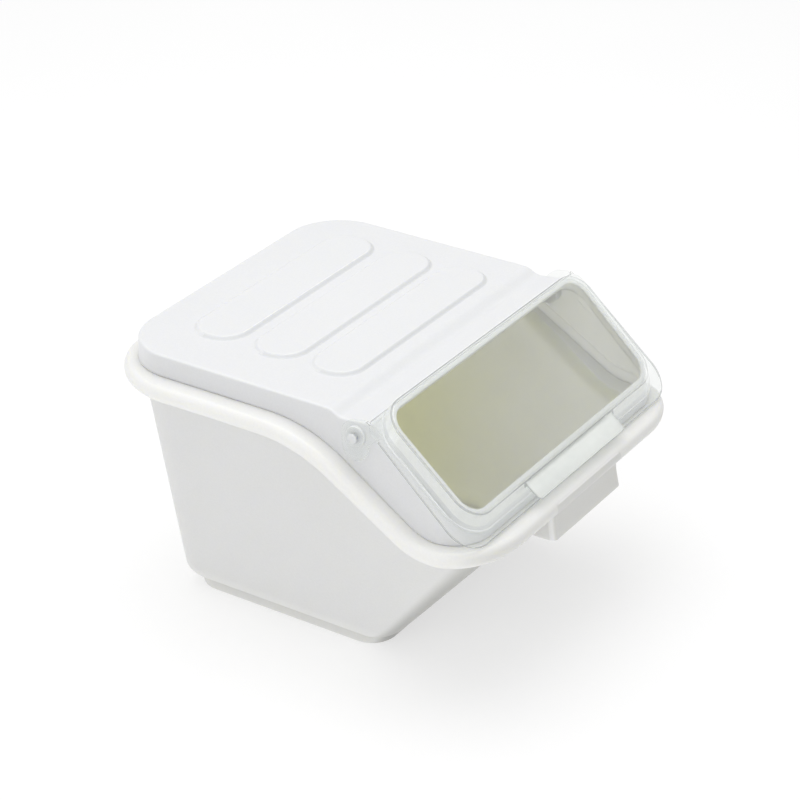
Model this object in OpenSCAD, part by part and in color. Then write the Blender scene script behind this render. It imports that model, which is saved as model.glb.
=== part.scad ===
/* Rice bin with flip lid.
   A drafted tub with a bull-nosed rim that sweeps down from a high back to
   a low front, a cover that sits on that rim, and a clear lid that flips
   up off the sloped opening on two hinge pins.
   Millimetres, +Z up, the front of the bin faces -Y. The origin is on the
   floor, under the middle of the bin. */

/* [Rim] */
// overall width over the rim
rim_w = 374; // [300:1:450]
// y of the rim's back edge
rim_back = 209; // [180:0.5:230]
// y of the rim's front edge
rim_front = -207; // [-230:0.5:-180]
// thickness of the bull-nosed rim
rim_t = 16; // [10:0.5:20]
// plan radius of the rim's back corners
rim_r_back = 80; // [50:1:90]
// height of the rim's top at the back
rim_high = 245; // [200:1:300]
// y where the rim starts to sweep down
sweep_y = 23; // [0:1:60]
// radius of the sweep where it leaves the back
sweep_r1 = 150; // [100:10:200]
// radius of the sweep where it meets the front
sweep_r2 = 50; // [30:10:150]
// length of the straight slope between the two bends
sweep_l = 82.5; // [20:2.5:120]

/* [Tub] */
// wall thickness of the tub
wall = 3; // [2:0.25:4]
// half width of the side walls at the bottom
wall_hw = 130; // [100:1:160]
// outward draft of the side walls, mm per mm
wall_draft = 0.149; // [0:0.001:0.3]
// y of the back wall at the bottom
wall_back = 162; // [120:1:190]
// outward draft of the back wall, mm per mm
back_draft = 0.108; // [0:0.001:0.3]
// y of the front wall at the bottom
wall_front = -69; // [-100:1:-40]
// forward lean of the front wall, mm per mm
front_lean = 0.86; // [0.5:0.01:1.1]
// y of the mouth's front edge, inside the rim
mouth_front = -176; // [-190:1:-150]

/* [Foot] */
// height of the foot step
foot_h = 10.5; // [4:0.5:16]
// half width of the foot
foot_hw = 123; // [90:1:150]
// y of the foot's back edge
foot_back = 152; // [120:0.5:180]
// y of the foot's front edge
foot_front = -54.5; // [-90:0.5:-30]
// corner radius of the foot
foot_r = 32; // [10:1:40]

/* [Front grip] */
// half width of the grip under the front rim
grip_hw = 59; // [40:1:70]
// y of the grip's outer face
grip_y = -206.5; // [-210:0.5:-190]
// height of the grip's lower edge
grip_z = 129; // [110:1:145]
// thickness of the grip plate
grip_t = 3.2; // [2:0.1:5]

/* [Cover] */
// height of the cover's level top
top_z = 266; // [230:1:320]
// half width of the level top
top_hw = 165.5; // [140:0.5:180]
// y of the top's back edge
top_back = 194.3; // [170:0.1:205]
// plan radius of the top's back corners
top_r = 54.5; // [30:0.5:70]
// plan radius of the cover's front corners
front_r = 30; // [15:1:50]
// y of the cover's front face, at the height of its top
cover_front = -180.4; // [-190:0.1:-160]
// outward draft of the cover's sides, mm per mm
skirt_draft = 0.06; // [0:0.01:0.15]
// wall thickness of the cover
cover_t = 2.6; // [2:0.1:4]
// y where the level top ends
top_front = -44.4; // [-60:0.1:-30]
// y of the bottom of the valley in front of the level top
valley_y = -51; // [-65:0.5:-40]
// height of the bottom of the valley
valley_z = 259.8; // [250:0.1:266]
// y of the strip's front end, under the lid's back edge
strip_y = -88; // [-92:0.5:-80]
// height of the strip's front end
strip_z = 264.6; // [255:0.1:266]
// height of the raised pads
pad_h = 3; // [1:0.25:5]
// half length of the raised pads
pad_hl = 122.5; // [90:0.5:140]
// y of the front edge of each raised pad
pad_fronts = [99, 33.4, -27.7]; // [-50:0.1:120]
// how far the raised pads sit to the right of the middle, as photographed
pad_shift = 6.5; // [0:0.5:10]
// depth of each raised pad, front to back
pad_depths = [53, 51.5, 49.5]; // [30:0.5:60]

/* [Opening] */
// slope of the opening and of the lid, degrees from level
slope = 42.3; // [30:0.1:55]
// y of the middle of the opening
win_y = -138.6; // [-160:0.1:-120]
// height of the middle of the opening
win_z = 234.9; // [200:0.1:260]
// half width of the opening
win_hw = 156.7; // [120:0.1:165]
// length of the opening along the slope
win_len = 111.4; // [80:0.1:130]
// corner radius of the opening
win_r = 20; // [8:1:30]
// how far the collar round the opening stands off the shoulder
collar_h = 12.4; // [8:0.1:24]
// y of the collar's front face, at the opening
collar_front = -180.9; // [-186:0.1:-176]
// half width of the collar at the opening
collar_hw = 160.4; // [150:0.1:165]
// how much wider the collar is at the shoulder
collar_flare = 6; // [0:0.5:9]

/* [Flip lid] */
// thickness of the clear lid
lid_t = 2.2; // [1.5:0.1:3]
// running gap between the lid and the cover
lid_gap = 0.8; // [0.3:0.1:1.5]
// half width of the lid's flange
flange_hw = 181; // [172:0.5:182]
// how far down the slope the flange reaches
flange_v = 82.5; // [76:0.5:86]
// corner radius of the flange
flange_r = 31; // [15:1:40]
// half width of the finger tab
tab_hw = 75.4; // [40:0.1:90]
// y of the finger tab's edge
tab_y = -201; // [-204:0.1:-192]
// height of the finger tab's edge
tab_z = 179.9; // [176:0.1:190]

/* [Hinge] */
// y of the hinge axis
hinge_y = -70.7; // [-85:0.1:-60]
// height of the hinge axis
hinge_z = 248.5; // [235:0.1:260]
// radius of the hinge pin
pin_r = 3; // [2:0.1:4]
// running gap of the ear on its pin
pin_gap = 0.06; // [0.02:0.01:0.1]
// interference of the pin in the cover
pin_press = 0.02; // [0:0.01:0.05]
// inner face of the lid's ears, from the middle plane
ear_in = 169.6; // [168:0.1:172]
// thickness of the ears
ear_t = 3; // [2:0.1:4]

/* [Hidden] */
white = [0.95, 0.955, 0.95];
clear_c = [0.86, 0.90, 0.88, 0.35];
pin_c = [0.90, 0.91, 0.89];
e = 0.02;
big = 600;
hw = rim_w / 2;
nose = rim_t / 2;
// sweep geometry: the slope falls 336 for every 527 along, 625 on the slant
sweep_a = atan2(336, 527);
ss = 0.5376;
sc = 0.8432;
rim_low = rim_high - (sweep_r1 + sweep_r2) * (1 - sc) - sweep_l * ss;
ax = sweep_y - sweep_r1 * ss;
az = rim_high - sweep_r1 * (1 - sc);
bx = ax - sweep_l * sc;
bz = az - sweep_l * ss;
sweep_y2 = bx - sweep_r2 * ss;
rim_r_front = sweep_y2 - rim_front;
// slope frame: v runs down the slope, w stands off it
sn = sin(slope);
cs = cos(slope);
function sp(v, w) = [win_y - v * cs - w * sn, win_z - v * sn + w * cs];
wv = win_len / 2;
lid_top = lid_gap + lid_t;

// the area under the sweep line, lowered by d (raised where d < 0), in y-z
module under_sweep(d = 0) {
    difference() {
        union() {
            polygon([
                [big, -big], [big, rim_high - d], [sweep_y, rim_high - d],
                [sweep_y, rim_high - sweep_r1],
                [ax + d * ss, az - d * sc], [bx + d * ss, bz - d * sc],
                [sweep_y2, rim_low - d], [-big, rim_low - d], [-big, -big]]);
            translate([sweep_y, rim_high - sweep_r1])
                circle(r = sweep_r1 - d, $fn = 180);
        }
        translate([sweep_y2, rim_low + sweep_r2]) circle(r = sweep_r2 + d, $fn = 120);
    }
}

// a y-z area made into a solid across the bin, from x0 to x1
module across(x0 = -big, x1 = big) {
    translate([x0, 0, 0]) rotate([90, 0, 90]) linear_extrude(x1 - x0) children();
}

// a rounded rectangle from corner to corner
module rrect(x0, y0, x1, y1, r) {
    union() {
        translate([x0 + r, y0]) square([x1 - x0 - 2 * r, y1 - y0]);
        translate([x0, y0 + r]) square([x1 - x0, y1 - y0 - 2 * r]);
        for (x = [x0 + r, x1 - r], y = [y0 + r, y1 - r])
            translate([x, y]) circle(r = r, $fn = 64);
    }
}

// children drawn in x and v, raised off the slope from w0 to w1
module on_slope(w0, w1) {
    translate([0, win_y, win_z]) rotate([slope, 0, 0]) translate([0, 0, w0])
        linear_extrude(w1 - w0) mirror([0, 1]) children();
}

// ---- tub ----

// one corner disc of the tub's wall
module corner(x, y, r, z) { translate([x, y, z]) cylinder(r = r, h = e, $fn = 32); }

// the drafted form of the tub, drawn in by t
module tub_form(t, z0, z1) {
    ft = t * sqrt(1 + front_lean * front_lean);
    function w(z) = wall_hw + wall_draft * (z - foot_h) - t;
    function b(z) = wall_back + back_draft * (z - foot_h) - t;
    function f(z) = wall_front - front_lean * (z - foot_h) + ft;
    function rb(z) = 21 + 0.104 * (z - 22) - t;
    function rf(z) = 22 + 0.09 * (z - 22) - t;
    // each level is [height, how far it is drawn in at the lower edge]
    levels = [[z0, 8, 10], [z0 + 4, 2.5, 3], [z0 + 12, 0, 0], [z1, 0, 0]];
    hull() for (s = [-1, 1], l = levels) let (z = l[0], d = l[1], g = l[2]) {
        corner(s * (w(z) - d - (rb(z) - d / 2)), b(z) - d - (rb(z) - d / 2), rb(z) - d / 2, z);
        corner(s * (w(z) - d - (rf(z) - d / 2)), f(z) + g + (rf(z) - d / 2), rf(z) - d / 2, z);
    }
}

// bull-nosed rim section: x outward from the inner edge, top at 0
module nose_section(in) {
    union() {
        translate([-in, -rim_t]) square([in - nose, rim_t]);
        translate([-nose, -nose]) circle(r = nose, $fn = 40);
    }
}

// the rim: one section carried round the corners and down the sweep
module rim() {
    in = 42;
    rb = rim_r_back;
    rf = rim_r_front;
    union() {
        translate([-(hw - rb), rim_back, rim_high]) rotate([90, 0, 90])
            linear_extrude(2 * (hw - rb)) nose_section(in);
        translate([hw - rf, rim_front, rim_low]) rotate([90, 0, -90])
            linear_extrude(2 * (hw - rf)) nose_section(in);
        for (s = [0, 1]) mirror([s, 0, 0]) {
            // back corner, then the level side
            translate([hw - rb, rim_back - rb, rim_high])
                rotate_extrude(angle = 90, $fn = 96) translate([rb, 0]) nose_section(in);
            translate([hw, rim_back - rb, rim_high]) rotate([90, 0, 0])
                linear_extrude(rim_back - rb - sweep_y) nose_section(in);
            // over the first bend, down the slope and round the second bend
            intersection() {
                translate([hw, sweep_y, rim_high - sweep_r1]) rotate([180, -90, 0])
                    rotate_extrude(angle = sweep_a + 3, $fn = 240)
                        translate([sweep_r1, 0]) mirror([1, -1]) nose_section(in);
                translate([hw, ax, az]) rotate([sweep_a, 0, 0]) translate([-100, 0, -100]) cube(200);
            }
            translate([hw, ax, az]) rotate([sweep_a, 0, 0]) rotate([90, 0, 0])
                linear_extrude(sweep_l) nose_section(in);
            intersection() {
                translate([hw, sweep_y2, rim_low + sweep_r2]) rotate([0, 90, 0])
                    rotate_extrude(angle = sweep_a + 5, $fn = 240)
                        translate([sweep_r2, 0]) rotate(90) nose_section(in);
                translate([hw, bx, bz]) rotate([sweep_a, 0, 0]) translate([-100, -200, -100]) cube(200);
            }
            // front corner
            translate([hw - rf, sweep_y2, rim_low]) rotate([0, 0, -90])
                rotate_extrude(angle = 90, $fn = 96) translate([rf, 0]) nose_section(in);
        }
    }
}

// the grip: a plate that hangs under the front rim, with a wing at each end
module grip() {
    difference() {
        translate([0, 0, grip_z]) linear_extrude(rim_low - 3 - grip_z)
            rrect(-grip_hw, grip_y, grip_hw, -140, 4);
        translate([0, 0, grip_z - 1]) linear_extrude(rim_low - rim_t - grip_z + 1)
            rrect(-grip_hw + grip_t, grip_y + grip_t, grip_hw - grip_t, -130, 1.5);
    }
}

// the room inside the tub
module cavity() {
    union() {
        intersection() {
            tub_form(wall, foot_h + wall, 300);
            translate([-big, mouth_front, 0]) cube([2 * big, 2 * big, big]);
        }
        translate([0, 0, wall]) linear_extrude(foot_h + 4)
            rrect(-foot_hw + wall, foot_front + wall, foot_hw - wall, foot_back - wall, foot_r - wall);
    }
}

module bin_body() color(white) difference() {
    union() {
        rim();
        intersection() {
            tub_form(0, foot_h, 270);
            across() under_sweep(nose);
        }
        linear_extrude(foot_h + 3)
            rrect(-foot_hw, foot_front, foot_hw, foot_back, foot_r);
        grip();
    }
    cavity();
}

// ---- cover ----

// the cover's drafted plan, drawn in by t
module cover_form(t, z0, z1) {
    function w(z) = top_hw + skirt_draft * (top_z - z) - t;
    function b(z) = top_back + skirt_draft * (top_z - z) - t;
    function f(z) = cover_front - skirt_draft * (top_z - z) + t;
    function r(r0, z) = r0 + skirt_draft * (top_z - z) - t;
    bx = top_hw - top_r;
    by = top_back - top_r;
    fx = top_hw - front_r;
    fy = cover_front + front_r;
    union() {
        translate([0, by, 0]) rotate([90, 0, 0]) linear_extrude(by - fy)
            polygon([[-w(z0), z0], [w(z0), z0], [w(z1), z1], [-w(z1), z1]]);
        across(-bx, bx) polygon([[by - e, z0], [b(z0), z0], [b(z1), z1], [by - e, z1]]);
        across(-fx, fx) polygon([[f(z0), z0], [fy + e, z0], [fy + e, z1], [f(z1), z1]]);
        for (s = [-1, 1]) {
            translate([s * bx, by, z0])
                cylinder(h = z1 - z0, r1 = r(top_r, z0), r2 = r(top_r, z1), $fn = 128);
            translate([s * fx, fy, z0])
                cylinder(h = z1 - z0, r1 = r(front_r, z0), r2 = r(front_r, z1), $fn = 96);
        }
    }
}

// side view of the cover below its top line, lowered by t
module top_line(t) {
    k = t / cs;
    polygon([
        [big, 0], [big, top_z - t], [top_front + t * 0.4, top_z - t],
        [valley_y + t * 0.4, valley_z - t], [strip_y - t * 0.9, strip_z - t],
        [strip_y - t * 0.9, sp_z(strip_y - t * 0.9, -collar_h) - k],
        [-300, sp_z(-300, -collar_h) - k], [-300, 0]]);
}

// height of the plane that stands w off the slope, at y
function sp_z(y, w) = win_z + (y - win_y) * tan(slope) + w / cs;

// a bar along the slope, from v0 to v1, narrower at its top, drawn in by t
module flared(hw_, v0, v1, w0, w1, flare) {
    translate([0, win_y, win_z]) rotate([slope, 0, 0]) translate([0, -v0, 0])
        rotate([90, 0, 0]) linear_extrude(v1 - v0) {
            k = flare / collar_h;
            polygon([[-hw_ + k * w0, w0], [hw_ - k * w0, w0], [hw_ - k * w1, w1], [-hw_ + k * w1, w1]]);
        }
}

// the collar's form, grown by g; it reaches from w0 to w1 off the slope
module collar_form(g, w0, w1) {
    hwf = collar_hw + collar_flare + g;
    intersection() {
        flared(collar_hw + g, -90, 110, w0, w1, collar_flare);
        on_slope(w0 - 30, w1 + 10) rrect(-hwf, -58.9 - g, hwf, 100, 22 + g);
        on_slope(w0 - 30, w1 + 10) rrect(-hwf, -80, hwf, 76.5 + g, 24 + g);
        across() polygon([
            sp(-58.9 - g, 30), sp(-58.9 - g, 0), sp(-57.2 - g, -17), sp(-57.2 - g, -60),
            [collar_front + 4 * 0.165 - 8.7 - g, 130], [collar_front - g, sp_z(collar_front, 0)],
            [collar_front - g + 8, 260]]);
    }
}

module stadium(hl, y0, y1) {
    r = (y1 - y0) / 2;
    union() {
        translate([-hl + r, y0]) square([2 * (hl - r), y1 - y0]);
        for (s = [-1, 1]) translate([s * (hl - r), y0 + r]) circle(r = r, $fn = 96);
    }
}

// one locating rib, a hook in section, inside the mouth
module rib(len, reach) {
    rotate([90, 0, 90]) linear_extrude(len) polygon([
        [0, -6], [2.4, -6], [2.4, 0.4], [reach, 0.4], [reach, 3], [0, 3]]);
}

module top_cover() color(white) difference() {
    union() {
        difference() {
            union() {
                intersection() {
                    cover_form(0, 150, 290);
                    across() union() {
                        difference() {
                            top_line(0);
                            under_sweep(-0.35);
                            translate([-big, -1]) square([2 * big, 165]);
                        }
                        translate([40, rim_high]) square([220, 2]);
                        translate([-300, rim_low]) square([300 + sweep_y2 - 4, 2]);
                    }
                }
                collar_form(0, -collar_h - 2, 0);
            }
            intersection() {
                cover_form(cover_t, 140, 300);
                across() top_line(cover_t);
            }
            collar_form(-cover_t, -60, -cover_t);
            on_slope(-10, 10) rrect(-win_hw, -wv, win_hw, wv, win_r);
        }
        // raised pads
        for (i = [0 : 2]) translate([pad_shift, 0, top_z - 1]) linear_extrude(pad_h + 1)
            stadium(pad_hl, pad_fronts[i], pad_fronts[i] + pad_depths[i]);
        // hinge bosses
        for (s = [-1, 1]) {
            translate([s * (ear_in - 0.3), hinge_y, hinge_z]) rotate([0, s * -90, 0])
                cylinder(r = 9.5, h = ear_in - 0.3 - 154, $fn = 64);
        }
        // locating ribs
        translate([-60, 180.6, rim_high]) rib(120, 14);
        translate([60, -172.4, rim_low]) rotate([0, 0, 180]) rib(120, 12);
        for (s = [0, 1]) mirror([s, 0, 0])
            translate([157.4, 130, rim_high]) rotate([0, 0, -90]) rib(80, 7.6);
    }
    for (s = [-1, 1])
        translate([s * 150, hinge_y, hinge_z]) rotate([0, s * 90, 0])
            cylinder(r = pin_r - pin_press, h = 30, $fn = 48);
}

// ---- flip lid ----

module ear_shape() {
    union() {
        translate([hinge_y - 1.2, hinge_z - 9]) circle(r = 12.8, $fn = 64);
        polygon([
            [hinge_y + 12.4, hinge_z + 1], [hinge_y + 10, hinge_z + 9], [hinge_y + 1, hinge_z + 17],
            [hinge_y - 8, hinge_z + 19.2], sp(-61.2, -10.2), sp(-45, -10.8), [hinge_y - 15, hinge_z - 4],
            [hinge_y - 14, hinge_z - 9], [hinge_y + 11.6, hinge_z - 9]]);
    }
}

module flip_lid() color(clear_c) difference() {
    union() {
        difference() {
            union() {
                collar_form(lid_top, -collar_h + 0.4, lid_top);
                intersection() {
                    on_slope(-collar_h + 0.4, -collar_h + 0.4 + lid_t)
                        rrect(-flange_hw, -61.2, flange_hw, flange_v, flange_r);
                    union() {
                        on_slope(-40, 10) rrect(-flange_hw, -61.2, flange_hw, 60, 6);
                        on_slope(-40, 10) rrect(-flange_hw, -20, flange_hw, flange_v, flange_r);
                    }
                }
            }
            collar_form(lid_gap, -60, 0.3);
        }
        // finger tab
        across(-tab_hw, tab_hw) polygon([
            [-184.2, tab_z + 14], [tab_y, tab_z], [tab_y + 0.3, tab_z - 2.3], [-184.2, tab_z + 10.6]]);
        for (s = [-1, 1]) {
            translate([s > 0 ? ear_in : -ear_in - ear_t, 0, 0]) rotate([90, 0, 90])
                linear_extrude(ear_t) ear_shape();
            translate([s * (ear_in + ear_t - 0.5), hinge_y, hinge_z]) rotate([0, s * 90, 0])
                cylinder(r = 9.4, h = 1.7, $fn = 64);
        }
    }
    for (s = [-1, 1])
        translate([s * 160, hinge_y, hinge_z]) rotate([0, s * 90, 0])
            cylinder(r = pin_r + pin_gap, h = 20, $fn = 48);
}

// ---- hinge pins ----

module hinge_pin(s) color(pin_c)
    translate([s * 154.6, hinge_y, hinge_z]) rotate([0, s * 90, 0]) union() {
        cylinder(r = pin_r, h = ear_in + ear_t + 1.4 - 154.6 + 0.1, $fn = 48);
        translate([0, 0, ear_in + ear_t + 1.4 - 154.6]) cylinder(r1 = 5.8, r2 = 4.8, h = 1.6, $fn = 48);
    }

module hinge_pin_left() hinge_pin(-1);
module hinge_pin_right() hinge_pin(1);

bin_body();
top_cover();
flip_lid();
hinge_pin_left();
hinge_pin_right();
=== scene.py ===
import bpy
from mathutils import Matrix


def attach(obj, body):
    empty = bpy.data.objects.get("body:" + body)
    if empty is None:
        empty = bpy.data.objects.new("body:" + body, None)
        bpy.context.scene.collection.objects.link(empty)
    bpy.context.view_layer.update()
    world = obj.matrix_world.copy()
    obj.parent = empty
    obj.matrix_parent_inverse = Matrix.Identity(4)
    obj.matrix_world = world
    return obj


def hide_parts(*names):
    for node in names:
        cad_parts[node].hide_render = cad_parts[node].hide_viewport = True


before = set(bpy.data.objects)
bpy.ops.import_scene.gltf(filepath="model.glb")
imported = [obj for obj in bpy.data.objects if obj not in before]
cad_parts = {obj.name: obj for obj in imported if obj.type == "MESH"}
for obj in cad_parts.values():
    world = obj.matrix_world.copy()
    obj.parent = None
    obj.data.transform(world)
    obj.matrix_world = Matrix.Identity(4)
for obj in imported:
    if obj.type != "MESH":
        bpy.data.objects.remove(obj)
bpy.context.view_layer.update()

import math
import bpy
import bmesh
import numpy as np
from mathutils import Matrix, Vector

scene = bpy.context.scene
MM = 0.001

# ------------------------------------------------------------------ sizes, mm, row frame
SS, SC = 0.5376, 0.8432                     # fall of the rim's slope: sine and cosine
RIM_HW, RIM_BACK, RIM_FRONT, RIM_T = 187.0, 209.0, -207.0, 16.0
RIM_HIGH, SWEEP_Y, R1, R2, SL = 245.0, 23.0, 150.0, 50.0, 82.5
AX, AZ = SWEEP_Y - R1 * SS, RIM_HIGH - R1 * (1 - SC)
BX, BZ = AX - SL * SC, AZ - SL * SS
SWEEP_Y2 = BX - R2 * SS
RIM_LOW = RIM_HIGH - (R1 + R2) * (1 - SC) - SL * SS
RIM_RB, RIM_RF = 80.0, SWEEP_Y2 - RIM_FRONT
WALL = 3.0
FOOT_H, FOOT_HW, FOOT_BACK, FOOT_FRONT, FOOT_R = 10.5, 123.0, 152.0, -54.5, 32.0
MOUTH_FRONT = -176.0
GRIP_HW, GRIP_Y, GRIP_Z, GRIP_T = 59.0, -206.5, 129.0, 3.2
TOP_Z, TOP_HW, TOP_BACK, TOP_FRONT = 266.0, 165.5, 194.3, -180.4
TOP_R, FRONT_R, DRAFT, COVER_T = 54.5, 30.0, 0.06, 2.6
BREAK_Y, VALLEY, STRIP = -44.4, (-51.0, 259.8), (-88.0, 264.35)
PAD_H, PAD_HL, PAD_X, PAD_FRONTS, PAD_DEPTHS = 3.0, 122.5, 6.5, (99.0, 33.4, -27.7), (53.0, 51.5, 49.5)
SLOPE = math.radians(42.3)
SN, CS = math.sin(SLOPE), math.cos(SLOPE)
WIN_Y, WIN_Z = -138.6, 234.9
HY, HZ = -70.7, 248.5
EAR_IN, EAR_T, PIN_R = 169.6, 3.0, 3.0


def sweep(y, d=0.0):
    """Height of the rim's top line at y, lowered by d square to itself."""
    y = np.asarray(y, float)
    z = np.full(y.shape, RIM_HIGH - d)
    r1, r2 = R1 - d, R2 + d
    y1, y2 = SWEEP_Y - r1 * SS, SWEEP_Y2 + r2 * SS
    m = (y < SWEEP_Y) & (y >= y1)
    z[m] = RIM_HIGH - R1 + np.sqrt(r1 * r1 - (y[m] - SWEEP_Y) ** 2)
    m = (y < y1) & (y > y2)
    z[m] = AZ - d * SC + (y[m] - AX - d * SS) * SS / SC
    m = (y <= y2) & (y > SWEEP_Y2)
    z[m] = RIM_LOW + R2 - np.sqrt(np.maximum(r2 * r2 - (y[m] - SWEEP_Y2) ** 2, 0))
    z[y <= SWEEP_Y2] = RIM_LOW - d
    return z


# ------------------------------------------------------------------ mesh tools
class Plan:
    """Columns round a rounded rectangle, kept in step from ring to ring."""

    def __init__(self, nf, nb, ts, mf, mb):
        ts = np.asarray(ts, float)                     # places along the right side, 0 first
        tl = np.concatenate([[0.0], 1 - ts[:0:-1]])
        parts = [(0, ts), (1, np.arange(nb) / nb), (2, np.arange(mb) / mb), (3, np.arange(nb) / nb),
                 (4, tl), (5, np.arange(nf) / nf), (6, np.arange(mf) / mf), (7, np.arange(nf) / nf)]
        self.kind = np.concatenate([np.full(len(t), k) for k, t in parts])
        self.t = np.concatenate([t for _, t in parts])
        self.n = len(self.t)
        start, at = {}, 0
        for k, t in parts:
            start[k] = np.arange(at, at + len(t))
            at += len(t)
        self.parts = start
        self.right = list(start[7]) + list(start[0]) + list(start[1]) + [start[2][0]]
        self.left = ([start[6][0]] + list(start[5][:0:-1]) + [start[5][0]] + list(start[4][:0:-1])
                     + [start[4][0]] + list(start[3][:0:-1]) + [start[3][0]])

    def xy(self, H, B, F, RB, RF, RX=None):
        one = np.ones(self.n)
        RX = RF if RX is None else RX
        H, B, F, RB, RF, RX = (one * v for v in (H, B, F, RB, RF, RX))
        x, y, t, k = np.zeros(self.n), np.zeros(self.n), self.t, self.kind
        a = math.pi / 2 * t
        for kind, fx, fy in (
                (0, H, F + RF + (B - RB - F - RF) * t),
                (1, H - RB + RB * np.cos(a), B - RB + RB * np.sin(a)),
                (2, (H - RB) * (1 - 2 * t), B),
                (3, -(H - RB) - RB * np.sin(a), B - RB + RB * np.cos(a)),
                (4, -H, B - RB + (F + RF - B + RB) * t),
                (5, -(H - RX) - RX * np.cos(a), F + RF - RF * np.sin(a)),
                (6, (H - RX) * (2 * t - 1), F),
                (7, H - RX + RX * np.sin(a), F + RF - RF * np.cos(a))):
            m = k == kind
            x[m], y[m] = fx[m], fy[m]
        return x, y

    def ladder(self, base):
        """Faces that close a ring with strips straight across from right to left."""
        r, l = [base + i for i in self.right], [base + i for i in self.left]
        faces = []
        for i in range(1, len(r) - 2):
            faces.append((r[i], r[i + 1], l[i + 1], l[i]))
        front = [base + i for i in self.parts[6]]
        faces.append(tuple(front + [r[0], r[1], l[1]]))
        back = [base + i for i in self.parts[2]]
        faces.append(tuple([r[-2]] + back + [l[-1], l[-2]]))
        return faces


def loft(rings, cap=("ngon", "ngon"), plan=None):
    n = len(rings[0])
    verts = np.vstack(rings)
    faces = []
    for i in range(len(rings) - 1):
        for j in range(n):
            a, b = i * n + j, i * n + (j + 1) % n
            faces.append((a, b, b + n, a + n))
    if cap == "torus":
        k = (len(rings) - 1) * n
        for j in range(n):
            faces.append((k + j, k + (j + 1) % n, (j + 1) % n, j))
        return verts, faces
    for which, base in ((cap[0], 0), (cap[1], (len(rings) - 1) * n)):
        if which == "ngon":
            faces.append(tuple(range(base, base + n)))
        elif which == "ladder":
            faces += plan.ladder(base)
    return verts, faces


def make(name, verts, faces):
    me = bpy.data.meshes.new(name)
    me.from_pydata([tuple(v) for v in np.asarray(verts, float) * MM], [], faces)
    bm = bmesh.new()
    bm.from_mesh(me)
    bmesh.ops.remove_doubles(bm, verts=bm.verts, dist=1e-7)
    bmesh.ops.recalc_face_normals(bm, faces=bm.faces)
    if bm.calc_volume(signed=True) < 0:
        bmesh.ops.reverse_faces(bm, faces=bm.faces)
    bm.to_mesh(me)
    bm.free()
    ob = bpy.data.objects.new(name, me)
    scene.collection.objects.link(ob)
    return ob


def settle(ob):
    """Applies an object's modifiers to its mesh."""
    bpy.context.view_layer.update()
    dg = bpy.context.evaluated_depsgraph_get()
    me = bpy.data.meshes.new_from_object(ob.evaluated_get(dg))
    old = ob.data
    ob.modifiers.clear()
    ob.data = me
    me.name = ob.name
    bpy.data.meshes.remove(old)
    return ob


def combine(ob, tool, op="UNION"):
    mod = ob.modifiers.new("b", "BOOLEAN")
    mod.operation, mod.object, mod.solver = op, tool, "MANIFOLD"
    before = len(ob.data.polygons)
    settle(ob)
    if len(ob.data.polygons) < 4:
        raise RuntimeError(f"{ob.name} lost its faces to {tool.name} from {before}")
    me = tool.data
    bpy.data.objects.remove(tool)
    bpy.data.meshes.remove(me)
    return ob


def shade(ob, angle=32.0):
    me = ob.data
    bm = bmesh.new()
    bm.from_mesh(me)
    bmesh.ops.remove_doubles(bm, verts=bm.verts, dist=2e-6)
    bmesh.ops.dissolve_degenerate(bm, edges=bm.edges, dist=1e-6)
    bm.to_mesh(me)
    bm.free()
    me.polygons.foreach_set("use_smooth", [True] * len(me.polygons))
    me.set_sharp_from_angle(angle=math.radians(angle))
    mod = ob.modifiers.new("wn", "WEIGHTED_NORMAL")
    mod.mode, mod.weight, mod.keep_sharp = "FACE_AREA", 60, True
    settle(ob)
    return ob


def lathe(name, profile, origin, direction, n=64):
    """Turns a profile of (radius, along) round an axis through origin."""
    d = np.array(direction, float)
    u = np.cross(d, [0.0, 0.0, 1.0])
    u /= np.linalg.norm(u)
    w = np.cross(d, u)
    rings = []
    for r, s in profile:
        a = np.arange(n) * 2 * math.pi / n
        rings.append(np.array(origin) + s * d + r * (np.cos(a)[:, None] * u + np.sin(a)[:, None] * w))
    return make(name, *loft(rings))


def outline_plate(name, pts, x0, x1, r=0.9, side=1):
    """A plate square to X whose outline is pts in (y, z), with rounded edges."""
    p = np.asarray(pts, float)
    nxt, prv = np.roll(p, -1, 0), np.roll(p, 1, 0)
    t = nxt - prv
    t /= np.linalg.norm(t, axis=1)[:, None]
    area = 0.5 * np.sum(p[:, 0] * nxt[:, 1] - nxt[:, 0] * p[:, 1])
    nrm = np.c_[t[:, 1], -t[:, 0]] * (1 if area > 0 else -1)
    rings = []
    steps = [0.0, 0.35, 0.7, 1.0]
    for q in steps:
        a = q * math.pi / 2
        rings.append((x0 + r * (1 - math.sin(a)), r * (1 - math.cos(a))))
    rings = [(x0 + r * (1 - math.cos(q * math.pi / 2)), r * (1 - math.sin(q * math.pi / 2))) for q in steps]
    rings += [(x1 - r * (1 - math.cos(q * math.pi / 2)), r * (1 - math.sin(q * math.pi / 2))) for q in steps[::-1]]
    out = []
    for x, inset in rings:
        q = p - nrm * inset
        out.append(np.c_[np.full(len(q), side * x), q])
    return make(name, *loft(out))


def chaikin(pts, times=3, keep=0.25):
    p = np.asarray(pts, float)
    for _ in range(times):
        q = np.roll(p, -1, 0)
        p = np.stack([p * (1 - keep) + q * keep, p * keep + q * (1 - keep)], 1).reshape(-1, 2)
    return p


def arc(n):
    return np.linspace(0, math.pi / 2, n)


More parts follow.
